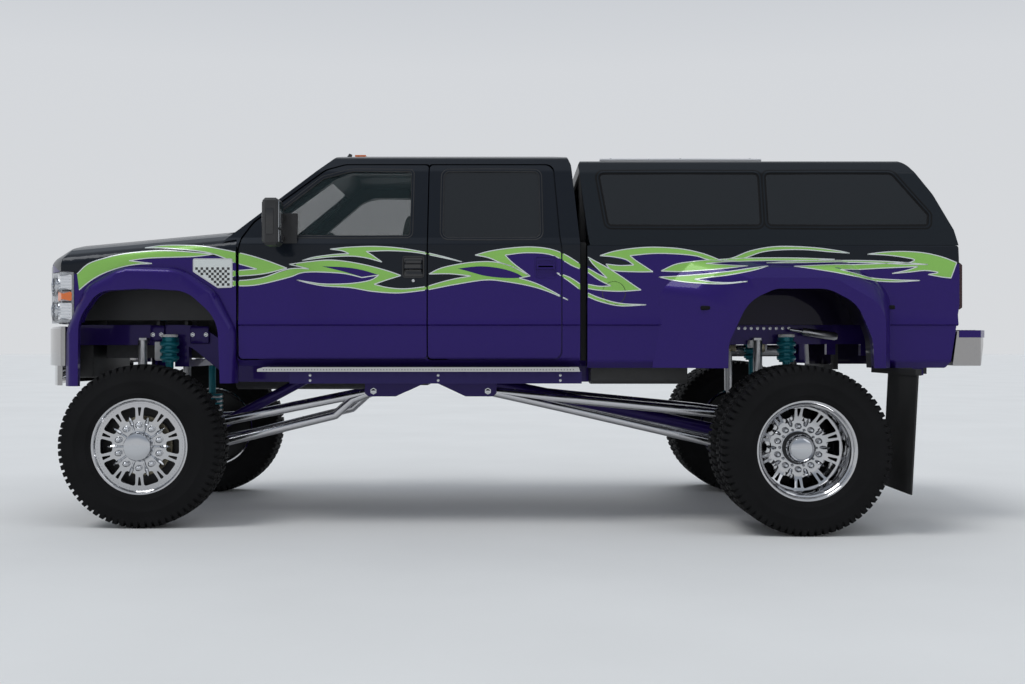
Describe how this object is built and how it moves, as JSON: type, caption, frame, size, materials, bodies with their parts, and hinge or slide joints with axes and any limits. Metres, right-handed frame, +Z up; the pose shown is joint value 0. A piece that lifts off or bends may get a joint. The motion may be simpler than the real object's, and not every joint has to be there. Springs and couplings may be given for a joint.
{
  "type": "lifted crew-cab pickup truck",
  "caption": "Lifted crew-cab long-bed pickup truck with topper, dual rear wheels, steering, opening doors, hood, tailgate and hatch.",
  "frame": {"origin": "on the ground under the centre of the truck's overall box", "axes": "+X towards the rear, +Y to the truck's right, +Z up; the front faces -X"},
  "size_m": [6.6469, 3.029, 2.62],
  "materials": {
    "paint": "deep violet metallic under clear coat, near-black above the side stripes",
    "frame_paint": "violet gloss",
    "black_metal": "satin black",
    "chrome": "polished",
    "wheel_metal": "mirror polished",
    "polished_tube": "polished",
    "aluminium": "satin",
    "steel": "brushed",
    "cast_metal": "cast",
    "tyre": "matt",
    "rubber": "matt",
    "glass": "clear, lightly tinted",
    "dark_glass": "dark tinted",
    "lamp_clear": "clear moulded",
    "lamp_smoked": "smoked",
    "lamp_amber": "moulded",
    "black_plastic": "grained",
    "spring_teal": "gloss",
    "leather": "fine grain"
  },
  "bodies": {
    "chassis": {"cab": "paint", "fenders": "paint", "bed": "paint", "topper": "paint", "cab_glass": "glass", "topper_glass": "dark_glass", "grille": "chrome", "front_bumper": "chrome", "rear_bumper": "chrome", "headlamps": "lamp_clear", "tail_lamps": "lamp_smoked", "roof_lamps": "lamp_amber", "engine_bay": "black_metal", "powertrain": "cast_metal", "fuel_tank": "black_plastic", "exhaust": "steel", "running_boards": "aluminium", "frame": "frame_paint", "crossmembers": "frame_paint", "hitch_receiver": "black_metal", "front_axle": "frame_paint", "rear_axle": "frame_paint", "drive_shafts": "frame_paint", "front_arms": "polished_tube", "rear_arms": "polished_tube", "springs": "spring_teal", "shocks": "steel", "mud_flaps": "rubber", "seats": "leather", "dashboard": "black_plastic"},
    "hood": {"hood": "paint"},
    "door_front_left": {"door_front_left": "paint", "glass_front_left": "glass", "mirror_left": "black_plastic"},
    "door_front_right": {"door_front_right": "paint", "glass_front_right": "glass", "mirror_right": "black_plastic"},
    "door_rear_left": {"door_rear_left": "paint", "glass_rear_left": "dark_glass"},
    "door_rear_right": {"door_rear_right": "paint", "glass_rear_right": "dark_glass"},
    "tailgate": {"tailgate": "paint"},
    "hatch": {"topper_hatch": "paint", "hatch_glass": "dark_glass"},
    "steering_wheel": {"steering_wheel": "black_plastic"},
    "knuckle_left": {"knuckle_left": "cast_metal"},
    "knuckle_right": {"knuckle_right": "cast_metal"},
    "tie_rod": {"tie_rod": "polished_tube"},
    "wheel_front_left": {"rim_front_left": "wheel_metal", "tyre_front_left": "tyre"},
    "wheel_front_right": {"rim_front_right": "wheel_metal", "tyre_front_right": "tyre"},
    "wheels_rear_left": {"rims_rear_left": "wheel_metal", "tyres_rear_left": "tyre"},
    "wheels_rear_right": {"rims_rear_right": "wheel_metal", "tyres_rear_right": "tyre"}
  },
  "joints": [
    {"name": "hood_hinge", "type": "hinge", "parent": "chassis", "child": "hood", "pos_m": [-1.935, 0, 2.01], "axis": [0, 1, 0], "range_deg": [0, 50]},
    {"name": "door_front_left_hinge", "type": "hinge", "parent": "chassis", "child": "door_front_left", "pos_m": [-1.723, -0.994, 1.5], "axis": [0, 0, -1], "range_deg": [0, 65]},
    {"name": "door_front_right_hinge", "type": "hinge", "parent": "chassis", "child": "door_front_right", "pos_m": [-1.723, 0.994, 1.5], "axis": [0, 0, 1], "range_deg": [0, 65]},
    {"name": "door_rear_left_hinge", "type": "hinge", "parent": "chassis", "child": "door_rear_left", "pos_m": [-0.439, -0.994, 1.5], "axis": [0, 0, -1], "range_deg": [0, 68]},
    {"name": "door_rear_right_hinge", "type": "hinge", "parent": "chassis", "child": "door_rear_right", "pos_m": [-0.439, 0.994, 1.5], "axis": [0, 0, 1], "range_deg": [0, 68]},
    {"name": "tailgate_hinge", "type": "hinge", "parent": "chassis", "child": "tailgate", "pos_m": [3.075, 0, 1.405], "axis": [0, 1, 0], "range_deg": [0, 90]},
    {"name": "hatch_hinge", "type": "hinge", "parent": "chassis", "child": "hatch", "pos_m": [2.8504, 0, 2.4145], "axis": [0, -1, 0], "range_deg": [0, 70]},
    {"name": "steer_left", "type": "hinge", "parent": "chassis", "child": "knuckle_left", "pos_m": [-2.418, -0.835, 0.548], "axis": [0, 0, 1], "range_deg": [-30, 30]},
    {"name": "steer_right", "type": "hinge", "parent": "chassis", "child": "knuckle_right", "pos_m": [-2.418, 0.835, 0.548], "axis": [0, 0, 1], "range_deg": [-30, 30]},
    {"name": "tie_rod_pivot", "type": "hinge", "parent": "knuckle_left", "child": "tie_rod", "pos_m": [-2.678, -0.835, 0.467], "axis": [0, 0, 1], "range_deg": [-30, 30]},
    {"name": "steering_wheel_turn", "type": "hinge", "parent": "chassis", "child": "steering_wheel", "pos_m": [-1.31, -0.45, 1.8243], "axis": [0.9076, 0, 0.4198], "range_deg": [-450, 450]},
    {"name": "wheel_front_left_spin", "type": "hinge", "parent": "knuckle_left", "child": "wheel_front_left", "pos_m": [-2.418, -1.02, 0.548], "axis": [0, 1, 0], "continuous": true},
    {"name": "wheel_front_right_spin", "type": "hinge", "parent": "knuckle_right", "child": "wheel_front_right", "pos_m": [-2.418, 1.02, 0.548], "axis": [0, 1, 0], "continuous": true},
    {"name": "wheels_rear_left_spin", "type": "hinge", "parent": "chassis", "child": "wheels_rear_left", "pos_m": [1.961, -1.2, 0.548], "axis": [0, 1, 0], "continuous": true},
    {"name": "wheels_rear_right_spin", "type": "hinge", "parent": "chassis", "child": "wheels_rear_right", "pos_m": [1.961, 1.2, 0.548], "axis": [0, 1, 0], "continuous": true}
  ],
  "couplings": [
    {"joint": "steer_right", "follows": "steer_left", "ratio": 1},
    {"joint": "tie_rod_pivot", "follows": "steer_left", "ratio": -1},
    {"joint": "steering_wheel_turn", "follows": "steer_left", "ratio": 15}
  ]
}
